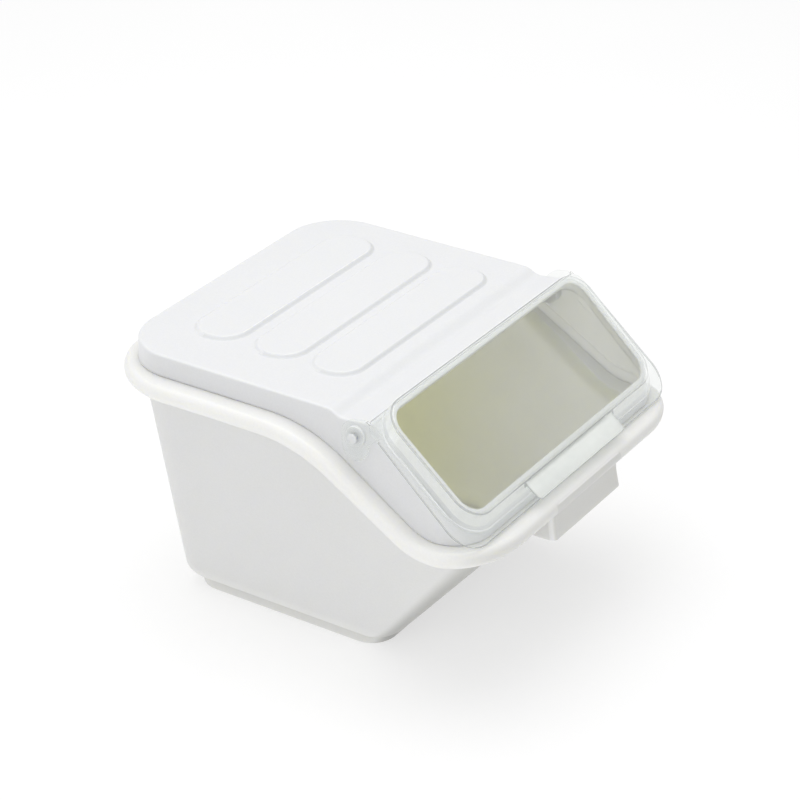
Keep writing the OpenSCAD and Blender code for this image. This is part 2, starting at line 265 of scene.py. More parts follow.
# ------------------------------------------------------------------ tub
def wall_plan(plan, z, inset=0.0, t=0.0):
    """The tub wall's outline at height z (one height for each column)."""
    h = np.asarray(z, float) - FOOT_H
    front_in = t * math.sqrt(1 + 0.86 ** 2)
    H = 130 + 0.149 * h - t - inset
    B = 162 + 0.108 * h - t - inset
    F = -69 - 0.86 * h + front_in + inset * 1.25
    RB = np.maximum(21 + 0.104 * (h - 11.5) - t - inset * 0.5, 3)
    RF = np.maximum(24 + 0.12 * (h - 11.5) - t - inset * 0.5, 3)
    return H, B, F, RB, RF


def build_tub():
    ts = np.concatenate([np.linspace(0, 0.62, 44, endpoint=False), np.linspace(0.62, 1, 14, endpoint=False)])
    plan = Plan(26, 30, ts, 24, 24)

    def ring(par, z):
        x, y = plan.xy(*par)
        z = z(y) if callable(z) else np.ones(plan.n) * z
        return np.c_[x, y, z]

    rings = []
    # underside of the foot, its edge and its band
    foot = lambda i, z=0.0: (FOOT_HW - i, FOOT_BACK - i, -61.0 - 0.62 * z + i, 25 - i * 0.6, 25 - i * 0.6)
    rings.append(ring(foot(7), 1.1))
    rings.append(ring(foot(5.2), 1.0))
    rings.append(ring(foot(4.4), 0.1))
    rings.append(ring(foot(4.0), 0.0))
    for a in arc(5):
        z = 1.6 * (1 - math.cos(a))
        rings.append(ring(foot(1.6 * (1 - math.sin(a)), z), z))
    rings.append(ring(foot(0, 5.0), 5.0))
    rings.append(ring(foot(0.05, 8.6), 8.6))
    # a small cove, then the body's rounded lower edge
    rings.append(ring(foot(0.3, 9.7), 9.7))
    rings.append(ring(foot(0.2, 10.4), 10.4))

    def low_edge(z, inset):
        H, B, F, RB, RF = wall_plan(plan, np.full(plan.n, z), inset=inset)
        return H, B - inset * 0.4, F - inset * 0.75, RB + inset * 0.6, RF + 1

    rings.append(ring(low_edge(11.0, 6.6), 10.9))
    for a in arc(11)[1:]:
        z = 11.0 + 14.0 * (1 - math.cos(a))
        rings.append(ring(low_edge(z, 6.6 * (1 - math.sin(a))), z))
    z_low = 25.0
    # where each column of the wall meets the underside of the rim
    ztop = np.full(plan.n, 220.0)
    for _ in range(60):
        x, y = plan.xy(*wall_plan(plan, ztop))
        ztop = 0.5 * ztop + 0.5 * sweep(y, RIM_T)
    cove = 2.2
    for s in np.linspace(0, 1, 26)[1:-1]:
        z = z_low + s * (ztop - cove - z_low)
        rings.append(ring(wall_plan(plan, z), 0))
        rings[-1][:, 2] = z
    xw, yw = plan.xy(*wall_plan(plan, ztop))
    # rim outlines: o is the distance in from the outer edge
    rim = lambda o: plan.xy(RIM_HW - o, RIM_BACK - o, RIM_FRONT + o, RIM_RB - o * 0.9, RIM_RF - o * 0.6, 74 - o)
    xo, yo = rim(0)

    def across(o, d):
        """A point o in from the rim's outer edge, towards the wall's top point, at depth d."""
        gap = np.hypot(xw - xo, yw - yo)
        f = np.minimum(o / gap, 1.0)
        x, y = xo + (xw - xo) * f, yo + (yw - yo) * f
        return np.c_[x, y, sweep(y, d)]

    for a in arc(4):
        z = ztop - cove * math.cos(a)
        p = ring(wall_plan(plan, z), 0)
        p[:, 2] = z
        q = across(1e6, RIM_T)
        gap = np.hypot(xw - xo, yw - yo)
        out = np.c_[(xo - xw) / gap, (yo - yw) / gap, 0 * gap]
        rings.append(p + out * cove * (1 - math.sin(a + 0.0)) * 0 + out * cove * (1 - math.cos(math.pi / 2 - a)) * 0.0 + out * (cove * (1 - math.cos(a))))
        rings[-1][:, 2] = sweep(rings[-1][:, 1], RIM_T) - cove * (1 - math.sin(a))
    # underside, a shallow hollow behind the rolled edge, then the bull nose
    gap = np.hypot(xw - xo, yw - yo)
    for f, dd in ((0.80, 0.0), (0.74, -0.2), (0.70, -2.6), (0.62, -3.2), (0.50, -3.2), (0.44, -2.6), (0.40, -0.2), (0.37, 0.0)):
        x, y = xo + (xw - xo) * f, yo + (yw - yo) * f
        rings.append(np.c_[x, y, sweep(y, RIM_T + dd)])
    nose = RIM_T / 2
    for a in np.linspace(0, math.pi, 21):
        rings.append(across(nose * (1 - math.sin(a)), nose + nose * math.cos(a)))
    # top of the rim, in to the mouth
    def mouth(z, edge=0.0):
        h = z - FOOT_H
        fi = wall_plan(plan, z, t=WALL)
        F = np.maximum(fi[2], MOUTH_FRONT)
        RF = np.where(fi[2] < MOUTH_FRONT, 30.0, np.minimum(fi[4], 30.0))
        return fi[0] - edge, fi[1] - edge, F + edge, fi[3] - edge * 0.6, RF

    zt = np.full(plan.n, 220.0)
    for _ in range(60):
        x, y = plan.xy(*mouth(zt))
        zt = 0.5 * zt + 0.5 * sweep(y, 0)
    xm, ym = plan.xy(*mouth(zt))
    for f in (0.35, 0.7):
        gx, gy = xo + (xm - xo) * f, yo + (ym - yo) * f
        k = nose / np.hypot(xm - xo, ym - yo)
        f2 = k + (1 - k) * f
        gx, gy = xo + (xm - xo) * f2, yo + (ym - yo) * f2
        rings.append(np.c_[gx, gy, sweep(gy, 0)])
    k = 1.4 / np.hypot(xm - xo, ym - yo)
    for a in arc(5):
        # edge of the mouth
        f = 1 - k * (1 - math.sin(a))
        gx, gy = xo + (xm - xo) * f, yo + (ym - yo) * f
        rings.append(np.c_[gx, gy, sweep(gy, 1.4 * (1 - math.cos(a)))])
    z_in = 26.0
    top = rings[-1][:, 2].copy()
    for s in np.linspace(0, 1, 26)[1:]:
        z = top + s * (z_in - top)
        p = ring(mouth(z), 0)
        p[:, 2] = z
        # blend out of the mouth's edge
        rings.append(p)
    n_inner = len(rings)
    for a in arc(7)[1:]:
        z = z_in - 12.5 * math.sin(a)
        par = wall_plan(plan, np.full(plan.n, z), inset=9 * (1 - math.cos(a)), t=WALL)
        rings.append(ring(par, z))
    # the step of the foot, seen from inside
    fin = lambda i: (FOOT_HW - WALL - i, FOOT_BACK - WALL - i, FOOT_FRONT + WALL + i, FOOT_R - WALL - i * 0.5, FOOT_R - WALL - i * 0.5)
    rings.append(ring(fin(0.2), 12.6))
    rings.append(ring(fin(0.8), 11.4))
    rings.append(ring(fin(1.0), 6.0))
    for a in arc(5)[1:]:
        rings.append(ring(fin(1.0 + 2.6 * (1 - math.cos(a))), 6.0 - 2.6 * math.sin(a)))
    rings.append(ring(fin(8), 3.2))
    ob = make("tub", *loft(rings))

    # the grip: a plate with a wing at each end, leaning out towards its lower edge
    def grip_form(name, t, y_back, levels, r_edge):
        out = []
        for z, yf, hw, inset in levels:
            r = 5.6 - t * 0.8
            yf, hw = yf + t + inset, hw - t - inset
            pts = [(hw, y_back)]
            pts += [(hw - r + r * math.cos(a), yf + r - r * math.sin(a)) for a in np.linspace(0, math.pi / 2, 9)]
            pts += [(-(hw - r) - r * math.sin(a), yf + r - r * math.cos(a)) for a in np.linspace(0, math.pi / 2, 9)]
            pts += [(-hw, y_back)]
            p = np.array(pts)
            out.append(np.c_[p, np.full(len(p), z)])
        return make(name, *loft(out))

    def face(z):
        f = min(max((z - GRIP_Z) / 26.0, 0.0), 1.0)
        back = 3.0 * math.sin(f * math.pi / 2) ** 1.5
        if z > 155:
            back *= max(0.0, 1 - ((z - 155) / 7.0)) ** 2
        return GRIP_Y + back, GRIP_HW + 0.6 - 1.6 * f

    levels = [(GRIP_Z + 2.2 * (1 - math.cos(a)), *face(GRIP_Z), 2.2 * (1 - math.sin(a))) for a in arc(6)]
    levels += [(z, *face(z), 0.0) for z in np.arange(133.0, 165.0, 2.5)]
    levels += [(164.4 + 2.2 * math.sin(a), *face(164.4), 2.2 * (1 - math.cos(a))) for a in arc(5)]
    outer = grip_form("grip", 0.0, -150.0, levels, 1.2)
    hollow = [(z, *face(z), 0.0) for z in (118.0, 129.0, 133.0, 138.0, 143.0, 148.0, RIM_LOW - RIM_T - 2.0)]
    hollow += [(RIM_LOW - RIM_T - 0.6, *face(152.0), 0.7), (RIM_LOW - RIM_T - 0.1, *face(152.0), 2.4)]
    inner = grip_form("grip_in", GRIP_T, -140.0, hollow, 0.5)
    combine(outer, inner, "DIFFERENCE")
    combine(ob, outer)
    # cut away what the grip's wings would leave inside the tub
    cut_rings = []
    for z in (60.0, 100.0, 140.0, 152.0, 175.0):
        y_in = -69 - 0.86 * (z - FOOT_H) + 3 * math.sqrt(1 + 0.86 ** 2) + 0.02
        y_in = max(y_in, MOUTH_FRONT + 0.02)
        cut_rings.append(np.array([(-70, y_in, z), (70, y_in, z), (70, -100, z), (-70, -100, z)]))
    combine(ob, make("cut", *loft(cut_rings)), "DIFFERENCE")
    return shade(ob, 40)


# ------------------------------------------------------------------ cover
def slope_z(y, w):
    return WIN_Z + (y - WIN_Y) * SN / CS + w / CS


def profile(y, t=0.0):
    """Height of the cover's top at y, its bends rounded; lowered by t for the underside."""
    y = np.asarray(y, float)
    wide, tight = np.linspace(-5.5, 5.5, 23), np.linspace(-2.0, 2.0, 9)

    def flat(q):
        z = 0
        for o in wide:
            z = z + np.interp(q + o, [STRIP[0], VALLEY[0] + t * 0.4, BREAK_Y + t * 0.4], [STRIP[1] - t, VALLEY[1] - t, TOP_Z - t])
        return z / len(wide)

    z = 0
    for o in tight:
        z = z + np.minimum(flat(y + o), slope_z(y + o, -12.4) - t / CS)
    return z / len(tight)


def build_cover():
    y0, y1 = TOP_FRONT + FRONT_R, TOP_BACK - TOP_R
    ys = np.concatenate([np.linspace(y0, -93, 22, endpoint=False), np.linspace(-93, -84, 10, endpoint=False),
                         np.linspace(-84, -60, 6, endpoint=False), np.linspace(-60, -36, 22, endpoint=False),
                         np.linspace(-36, 28, 12, endpoint=False), np.linspace(28, y1, 10, endpoint=False)])
    plan = Plan(18, 30, (ys - y0) / (y1 - y0), 20, 20)

    def par(z, inset=0.0):
        g = DRAFT * (TOP_Z - np.asarray(z, float)) - inset
        return TOP_HW + g, TOP_BACK + g, TOP_FRONT - g, TOP_R + g, FRONT_R + g

    def top_of(inset, t):
        z = np.full(plan.n, 240.0)
        for _ in range(50):
            x, y = plan.xy(*par(z, inset))
            z = 0.5 * z + 0.5 * profile(y, t)
        return z

    def skin(inset, t, rho, up):
        rings = []
        z = top_of(inset, t)
        x, y = plan.xy(*par(z, inset))
        foot = sweep(y, 0) + 0.3
        x, y = plan.xy(*par(foot, inset))
        foot = sweep(y, 0) + 0.3
        if up:
            lip = [(0.7, 0.0), (0.25, 0.2), (0.0, 0.8)]
        else:
            lip = [(-0.6, 0.0), (-0.2, 0.15), (0.0, 0.7)]
        for i, dz in lip:
            xx, yy = plan.xy(*par(foot, inset + i))
            rings.append(np.c_[xx, yy, foot + dz])
        room = z - rho - foot - 0.8
        if not up:
            mid = np.minimum(12.0, 0.5 * room)
            for dz, b in ((-1.8, 0.0), (-1.2, 0.5), (0.0, 0.9), (1.2, 0.5), (1.8, 0.0)):
                zz = foot + 0.8 + np.maximum(mid + dz, 0.3)
                xx, yy = plan.xy(*par(zz, inset + b))
                rings.append(np.c_[xx, yy, zz])
        for s in (0.66, 0.82) if not up else (0.33, 0.66):
            zz = foot + 0.8 + s * room
            xx, yy = plan.xy(*par(zz, inset))
            rings.append(np.c_[xx, yy, zz])
        for a in arc(6):
            zz = z - rho * (1 - math.sin(a))
            xx, yy = plan.xy(*par(z - rho, inset + rho * (1 - math.cos(a))))
            zt = profile(yy, t)
            rings.append(np.c_[xx, yy, zt - rho * (1 - math.sin(a))])
        for extra in (1.2, 4.0):
            xx, yy = plan.xy(*par(z - rho, inset + rho + extra))
            rings.append(np.c_[xx, yy, profile(yy, t)])
        return rings

    outside = skin(0.0, 0.0, 2.6, True)[::-1]
    inside = skin(COVER_T, COVER_T, 1.2, False)
    cap = make("cover", *loft(outside + inside, ("ladder", "ladder"), plan))

    # raised pads
    for i in range(3):
        d = PAD_DEPTHS[i]
        yc, hl = PAD_FRONTS[i] + d / 2, PAD_HL
        rings = []
        side = [(-2.6, TOP_Z - 1.2), (-2.6, TOP_Z - 0.02), (-1.9, TOP_Z + 0.06), (-1.2, TOP_Z + 0.3), (-0.5, TOP_Z + 0.8),
                (0.1, TOP_Z + 1.4), (0.6, TOP_Z + 1.95), (1.2, TOP_Z + 2.45), (1.9, TOP_Z + 2.8), (2.8, TOP_Z + 2.96),
                (4.0, TOP_Z + PAD_H), (10.0, TOP_Z + PAD_H)]
        for inset, z in side:
            r = d / 2 - inset
            right = [(PAD_X + hl - d / 2 + r * math.cos(a), yc + r * math.sin(a)) for a in np.linspace(-math.pi / 2, math.pi / 2, 33)]
            left = [(PAD_X - (hl - d / 2) - r * math.cos(a), yc - r * math.sin(a)) for a in np.linspace(-math.pi / 2, math.pi / 2, 33)]
            p = np.array(right + left)
            rings.append(np.c_[p, np.full(len(p), z)])
        combine(cap, make("pad", *loft(rings)))

    # opening, and the collar round it
    sp = Plan(16, 16, np.linspace(0, 1, 14, endpoint=False), 20, 20)
    hole = []
    for w in (-20.0, 12.0):
        x, y = sp.xy(165.0, 56.2, -71.5, 24, 27)
        hole.append(slope_ring(x, y, w))
    combine(cap, make("hole", *loft(hole)), "DIFFERENCE")
    th = 2.8
    rings = []
    for w in (-14.6, -9.0, -4.0, -th / 2):
        rings.append(collar_ring(sp, w, 0.0))
    lip = th / 2
    bead = [(lip * (1 - math.cos(a)), lip * math.sin(a) - lip) for a in arc(6)[1:]]
    bead += [(5.2 - lip * (1 - math.sin(a)), lip * math.cos(a) - lip) for a in arc(6)]
    bead += [(5.1, -2.2), (4.6, -3.2), (3.6, -4.3), (2.9, -5.6)]
    for i, w in bead:
        rings.append(collar_ring(sp, min(w, -lip), i, w_at=w, front=i * 0.88, rear=i * 0.75))
    for w in (-9.0, -14.6):
        rings.append(collar_ring(sp, w, th))
    combine(cap, make("collar", *loft(rings, "torus")))

    for s in (1, -1):
        boss = [(9.5 - 0.0, 154.0), (9.5, EAR_IN - 1.1)] + [(9.5 - 0.8 * (1 - math.cos(a)), EAR_IN - 1.1 + 0.8 * math.sin(a)) for a in arc(4)[1:]]
        combine(cap, lathe("boss", [(8.7, 153.4)] + boss, (0, HY, HZ), (s, 0, 0)))
        combine(cap, lathe("bore", [(PIN_R + 0.01, 140), (PIN_R + 0.01, 180)], (0, HY, HZ), (s, 0, 0), 48), "DIFFERENCE")

    def rib(length, reach, place):
        sect = chaikin([(0, -6), (2.4, -6), (2.4, 0.4), (reach, 0.4), (reach, 3), (0, 3)], 2, 0.1)
        out = [np.array([place(s, px, pz) for px, pz in sect]) for s in (-length / 2, length / 2)]
        return make("rib", *loft(out))

    combine(cap, rib(120, 14.0, lambda s, q, z: (s, 180.6 + q, RIM_HIGH + 0.2 + z)))
    combine(cap, rib(120, 12.0, lambda s, q, z: (-s, -172.4 - q, RIM_LOW + 0.2 + z)))
    for s0 in (1, -1):
        combine(cap, rib(80, 7.8, lambda s, q, z: (s0 * (157.4 + q), 90 + s0 * -s, RIM_HIGH + 0.2 + z)))
    return shade(cap, 33)


# ------------------------------------------------------------------ frame of the slope
def slope_ring(x, y, w):
    """x across, y up the slope, w off it, in the row frame."""
    w = np.ones(len(x)) * w
    return np.c_[x, WIN_Y + y * CS - w * SN, WIN_Z + y * SN + w * CS]


def collar_ring(plan, w, inset, w_at=None, flare=0.0, front=None, rear=None):
    """The collar's outline at w off the slope, drawn in by inset (negative grows it)."""
    H = 160.4 - 0.484 * w - inset + flare
    B = 58.9 + 0.1 * w - (inset if rear is None else rear)
    F = -(58.9 - 1.12 * w) + (inset * 1.5 if front is None else front)
    RB = max(23 - 0.2 * w - inset + flare, 2)
    RF = max(23 - 0.4 * w - inset + flare, 2)
    x, y = plan.xy(H, B, F, RB, RF)
    return slope_ring(x * (1 - 0.00017 * (45 - y)), y, w if w_at is None else w_at)


# ------------------------------------------------------------------ lid
def build_lid():
    sp = Plan(18, 18, np.linspace(0, 1, 16, endpoint=False), 24, 24)
    g_out, g_in = 3.0, 0.8
    top, under = 3.0, 0.3
    fl_top, fl_low = -9.8, -12.0
    rings = []
    rho = 2.4
    flare = lambda w: 4.6 * (top - w) / (top - fl_top)
    for extra in (14.0, 5.0, 1.2):
        rings.append(collar_ring(sp, top - rho, -g_out + rho + extra, w_at=top))
    for a in arc(7)[::-1]:
        wa = top - rho * (1 - math.sin(a))
        rings.append(collar_ring(sp, top - rho, -g_out + rho * (1 - math.cos(a)), w_at=wa, flare=flare(wa)))
    for w in (-2.5, -5.5):
        rings.append(collar_ring(sp, w, -g_out, flare=flare(w)))
    # foot of the wall, a small cove into the flange
    cove = 1.6
    for a in arc(5):
        rings.append(collar_ring(sp, fl_top + cove, -g_out - cove * (1 - math.cos(a)), w_at=fl_top + cove * (1 - math.sin(a)), flare=4.3, rear=-2.4))

    def flange(f, w, inset=0.0):
        """Between the wall's foot (f=0) and the flange's edge (f=1)."""
        a = collar_ring(sp, fl_top + cove, -g_out - cove, w_at=w, flare=4.3, rear=-2.4)
        x, y = sp.xy(180.9 - inset, 60.8 - inset * 0.2 - max(0.0, -10.9 - w) * 0.5, -82.5 + inset, 12.0, 30.0)
        b = slope_ring(x * (1 - 0.000135 * (y + 82.5)), y, w)
        return a + (b - a) * f

    rings.append(flange(0.35, fl_top))
    rings.append(flange(1.0, fl_top, 3.4))
    rings.append(flange(1.0, fl_top, 2.0))
    er = (fl_top - fl_low) / 2
    for a in np.linspace(0, math.pi, 9):
        rings.append(flange(1.0, (fl_top + fl_low) / 2 + er * math.cos(a), er * (1 - math.sin(a))))
    rings.append(flange(1.0, fl_low, 2.0))
    rings.append(flange(0.5, fl_low))
    # inside of the wall, then the underside of the panel
    rings.append(collar_ring(sp, fl_low, -g_in - 0.5, w_at=fl_low, flare=4.6))
    rings.append(collar_ring(sp, fl_low + 0.5, -g_in, w_at=fl_low + 0.5, flare=4.6))
    for w in (-8.0, -4.0, -1.2):
        rings.append(collar_ring(sp, w, -g_in, flare=flare(w)))
    for a in arc(4):
        rings.append(collar_ring(sp, under - 1.2, -g_in + 1.2 * (1 - math.cos(a)), w_at=under - 1.2 * (1 - math.sin(a))))
    for extra in (2.4, 6.0, 14.0):
        rings.append(collar_ring(sp, under - 1.2, -g_in + extra, w_at=under))
    lid = make("lid", *loft(rings))

    # finger tab
    th, hw = 2.6, 75.6
    p0 = np.array([-184.3, 193.43])
    p1 = np.array([-200.9, 180.1])
    d = (p1 - p0) / np.linalg.norm(p1 - p0)
    nrm = np.array([d[1], -d[0]])
    if nrm[1] > 0:
        nrm = -nrm
    length = np.linalg.norm(p1 - p0)
    base = []
    r = 4.5
    for s in (1, -1):
        for a in (arc(8) if s > 0 else arc(8)):
            if s > 0:
                base.append((hw - r + r * math.cos(a), length - r + r * math.sin(a)))
            else:
                base.append((-(hw - r) - r * math.sin(a), length - r + r * math.cos(a)))
    base = np.array([(hw, 0.0)] + base + [(-hw, 0.0)])
    out = []
    for q in np.linspace(0, math.pi, 9):
        inset, dep = th / 2 * (1 - math.sin(q)), th / 2 * (1 - math.cos(q))
        b = base.copy()
        b[:, 0] -= np.sign(b[:, 0]) * inset
        b[1:-1, 1] -= inset * np.clip((b[1:-1, 1] - (length - r)) / r, 0, 1)
        out.append(np.array([(x, *(p0 + d * s + nrm * dep)) for x, s in b]))
    combine(lid, make("tab", *loft(out)))

    # ears
    e = lambda v, w: (WIN_Y - v * CS - w * SN, WIN_Z - v * SN + w * CS)
    ctrl = [(HY + 12.6, HZ + 2), (HY + 11.2, HZ + 10), (HY + 3, HZ + 17.5), (HY - 8, HZ + 19.6), e(-61.5, -10.0),
            e(-52, -10.4), e(-44, -10.8), e(-43, -11.6), (HY - 20.5, HZ + 1.5), (HY - 15.4, HZ - 5), (HY - 14.4, HZ - 12)]
    ctrl += [(HY - 1.2 + 13.0 * math.cos(a), HZ - 9 + 13.0 * math.sin(a)) for a in np.radians(np.arange(200, 361, 20))]
    shape = chaikin(ctrl, 3, 0.22)
    for s in (1, -1):
        combine(lid, outline_plate("ear", shape, EAR_IN, EAR_IN + EAR_T, 0.8, s))
        x1 = EAR_IN + EAR_T
        ring = [(8.6, x1 - 1.0), (9.2, x1 - 0.2), (9.0, x1 + 0.2)] + [(8.9 - 0.8 * (1 - math.cos(a)), x1 + 0.2 + 0.5 * math.sin(a)) for a in arc(4)[1:]]
        ring += [(7.0, x1 + 0.7), (6.5, x1 + 0.6), (6.2, x1 + 0.35), (5.9, x1 + 0.25)]
        combine(lid, lathe("ring", ring, (0, HY, HZ), (s, 0, 0)))
        combine(lid, lathe("bore", [(PIN_R + 0.06, 160), (PIN_R + 0.06, 180)], (0, HY, HZ), (s, 0, 0), 48), "DIFFERENCE")
    return shade(lid, 33)


# ------------------------------------------------------------------ pins
def build_pin(name, s):
    x1 = EAR_IN + EAR_T
    prof = [(2.2, 154.6), (2.7, 154.7), (PIN_R, 155.3), (PIN_R, x1 + 0.45)]
    prof += [(4.1, x1 + 0.45), (4.5, x1 + 0.55), (4.7, x1 + 0.8)]
    prof += [(4.7 - 1.8 * (1 - math.cos(a)), x1 + 0.9 + 1.0 * math.sin(a)) for a in arc(5)]
    prof += [(2.4, x1 + 2.0), (1.7, x1 + 1.85), (0.8, x1 + 1.8)]
    return shade(lathe(name, prof, (0, HY, HZ), (s, 0, 0), 56), 40)


# ------------------------------------------------------------------ materials
def new_material(name):
    m = bpy.data.materials.new(name)
    m.use_nodes = True
    nt = m.node_tree
    nt.nodes.clear()
    out = nt.nodes.new("ShaderNodeOutputMaterial")
    return m, nt, out


def node(nt, kind, **props):
    n = nt.nodes.new(kind)
    ins = props.pop("ins", {})
    for k, v in props.items():
        setattr(n, k, v)
    for k, v in ins.items():
        n.inputs[k].default_value = v
    return n


def moulded(name, base, worn, rough=0.38, coarse=7.0, bump=1.0, sss=0.0, radius=(1.0, 0.97, 0.78), painted_tint=None, reach=0.012, painted_shade=0.0, painted_shade_dir=(0.0, -0.75, -0.66), foot_band_darkening=0.0, painted_glow=0.0):
    """Satin moulded plastic: slow tone drift, fine grain, faint handling marks; optional painted shade, painted khaki
    tint, darker foot band and painted glow.
    """
    m, nt, out = new_material(name)
    L = nt.links.new
    co = node(nt, "ShaderNodeTexCoord")
    drift = node(nt, "ShaderNodeTexNoise", ins={"Scale": coarse, "Detail": 4.0, "Roughness": 0.55})
    L(co.outputs["Object"], drift.inputs["Vector"])
    fine = node(nt, "ShaderNodeTexNoise", ins={"Scale": 520.0, "Detail": 3.0, "Roughness": 0.6})
    L(co.outputs["Object"], fine.inputs["Vector"])
    grain = node(nt, "ShaderNodeTexNoise", ins={"Scale": 1900.0, "Detail": 2.0, "Roughness": 0.5})
    L(co.outputs["Object"], grain.inputs["Vector"])
    # faint streaks from handling and moulding
    mp = node(nt, "ShaderNodeMapping")
    mp.inputs["Scale"].default_value = (6.0, 150.0, 14.0)
    mp.inputs["Rotation"].default_value = (0.2, 0.5, 0.7)
    L(co.outputs["Object"], mp.inputs["Vector"])
    streak = node(nt, "ShaderNodeTexNoise", ins={"Scale": 4.0, "Detail": 5.0, "Roughness": 0.65, "Distortion": 0.4})
    L(mp.outputs["Vector"], streak.inputs["Vector"])
    sr = node(nt, "ShaderNodeValToRGB")
    sr.color_ramp.elements[0].position, sr.color_ramp.elements[1].position = 0.62, 0.80
    L(streak.outputs["Fac"], sr.inputs["Fac"])
    dr = node(nt, "ShaderNodeMapRange", ins={"From Min": 0.3, "From Max": 0.7, "To Min": 0.0, "To Max": 1.0})
    L(drift.outputs["Fac"], dr.inputs["Value"])
    mix = node(nt, "ShaderNodeMix", data_type="RGBA")
    mix.inputs["A"].default_value = (*base, 1)
    mix.inputs["B"].default_value = (*worn, 1)
    L(dr.outputs["Result"], mix.inputs["Factor"])
    speck = node(nt, "ShaderNodeMapRange", ins={"From Min": 0.35, "From Max": 0.65, "To Min": 0.975, "To Max": 1.0})
    L(fine.outputs["Fac"], speck.inputs["Value"])
    mul = node(nt, "ShaderNodeMix", data_type="RGBA", blend_type="MULTIPLY")
    mul.inputs["Factor"].default_value = 1.0
    L(mix.outputs["Result"], mul.inputs["A"])
    L(speck.outputs["Result"], mul.inputs["B"])
    b = node(nt, "ShaderNodeBsdfPrincipled")
    tone = mul.outputs["Result"]
    if painted_tint:
        # painted shade: a warm khaki tint multiplied in, stronger towards the back of the tub and low down, standing
        # in for the warm shaded light inside it
        sep = node(nt, "ShaderNodeSeparateXYZ")
        L(co.outputs["Object"], sep.inputs["Vector"])
        wob = _math(nt, "ADD", sep.outputs["Y"], _math(nt, "MULTIPLY", _math(nt, "SUBTRACT", drift.outputs["Fac"], 0.5), 0.06))
        back = node(nt, "ShaderNodeMapRange", interpolation_type="SMOOTHSTEP", ins={"From Min": -0.10, "From Max": 0.13, "To Min": 0.0, "To Max": 1.0})
        L(wob, back.inputs["Value"])
        high = node(nt, "ShaderNodeMapRange", interpolation_type="SMOOTHSTEP", ins={"From Min": 0.12, "From Max": 0.23, "To Min": 1.0, "To Max": 0.3})
        L(sep.outputs["Z"], high.inputs["Value"])
        tint_mix = node(nt, "ShaderNodeMix", data_type="RGBA", blend_type="MULTIPLY")
        tint_mix.inputs["B"].default_value = (*painted_tint, 1)
        L(_math(nt, "MULTIPLY", back.outputs["Result"], high.outputs["Result"]), tint_mix.inputs["Factor"])
        L(tone, tint_mix.inputs["A"])
        tone = tint_mix.outputs["Result"]
    if painted_shade:
        # painted shade: faces that look along the given direction, forward and down unless given, are darkened
        dot = node(nt, "ShaderNodeVectorMath", operation="DOT_PRODUCT")
        L(co.outputs["Normal"], dot.inputs[0])
        dot.inputs[1].default_value = painted_shade_dir
        shade_ramp = node(nt, "ShaderNodeMapRange", interpolation_type="SMOOTHSTEP", ins={"From Min": 0.55, "From Max": 0.97, "To Min": 1.0, "To Max": 1.0 - painted_shade})
        L(dot.outputs["Value"], shade_ramp.inputs["Value"])
        shaded_tone = node(nt, "ShaderNodeVectorMath", operation="SCALE")
        L(tone, shaded_tone.inputs[0])
        L(shade_ramp.outputs["Result"], shaded_tone.inputs["Scale"])
        tone = shaded_tone.outputs["Vector"]
    if foot_band_darkening:
        # the foot is greyer than the wall above it
        sep = node(nt, "ShaderNodeSeparateXYZ")
        L(co.outputs["Object"], sep.inputs["Vector"])
        h = _math(nt, "ADD", sep.outputs["Z"], _math(nt, "MULTIPLY", _math(nt, "SUBTRACT", streak.outputs["Fac"], 0.5), 0.004))
        band = node(nt, "ShaderNodeMapRange", interpolation_type="SMOOTHSTEP", ins={"From Min": 0.009, "From Max": 0.0125, "To Min": 1.0 - foot_band_darkening, "To Max": 1.0})
        L(h, band.inputs["Value"])
        foot = node(nt, "ShaderNodeVectorMath", operation="SCALE")
        L(tone, foot.inputs[0])
        L(band.outputs["Result"], foot.inputs["Scale"])
        tone = foot.outputs["Vector"]
    L(tone, b.inputs["Base Color"])
    if painted_glow:
        L(tone, b.inputs["Emission Color"])
        b.inputs["Emission Strength"].default_value = painted_glow      # painted glow: emission standing in for daylight through the thin wall
    rr = node(nt, "ShaderNodeMapRange", ins={"From Min": 0.3, "From Max": 0.7, "To Min": rough - 0.04, "To Max": rough + 0.05})
    L(fine.outputs["Fac"], rr.inputs["Value"])
    add = node(nt, "ShaderNodeMath", operation="MULTIPLY_ADD")
    L(sr.outputs["Color"], add.inputs[0])
    add.inputs[1].default_value = 0.10
    L(rr.outputs["Result"], add.inputs[2])
    L(add.outputs[0], b.inputs["Roughness"])
    b.inputs["IOR"].default_value = 1.49
    b.inputs["Specular IOR Level"].default_value = 0.5
    if sss:
        b.inputs["Subsurface Weight"].default_value = sss
        b.inputs["Subsurface Radius"].default_value = radius
        b.inputs["Subsurface Scale"].default_value = reach
    slow = node(nt, "ShaderNodeBump", ins={"Strength": 0.35 * bump, "Distance": 0.0006})
    L(drift.outputs["Fac"], slow.inputs["Height"])
    mid = node(nt, "ShaderNodeBump", ins={"Strength": 0.10 * bump, "Distance": 0.00012})
    L(fine.outputs["Fac"], mid.inputs["Height"])
    L(slow.outputs["Normal"], mid.inputs["Normal"])
    tiny = node(nt, "ShaderNodeBump", ins={"Strength": 0.10 * bump, "Distance": 0.00005})
    L(grain.outputs["Fac"], tiny.inputs["Height"])
    L(mid.outputs["Normal"], tiny.inputs["Normal"])
    L(tiny.outputs["Normal"], b.inputs["Normal"])
    L(b.outputs["BSDF"], out.inputs["Surface"])
    return m


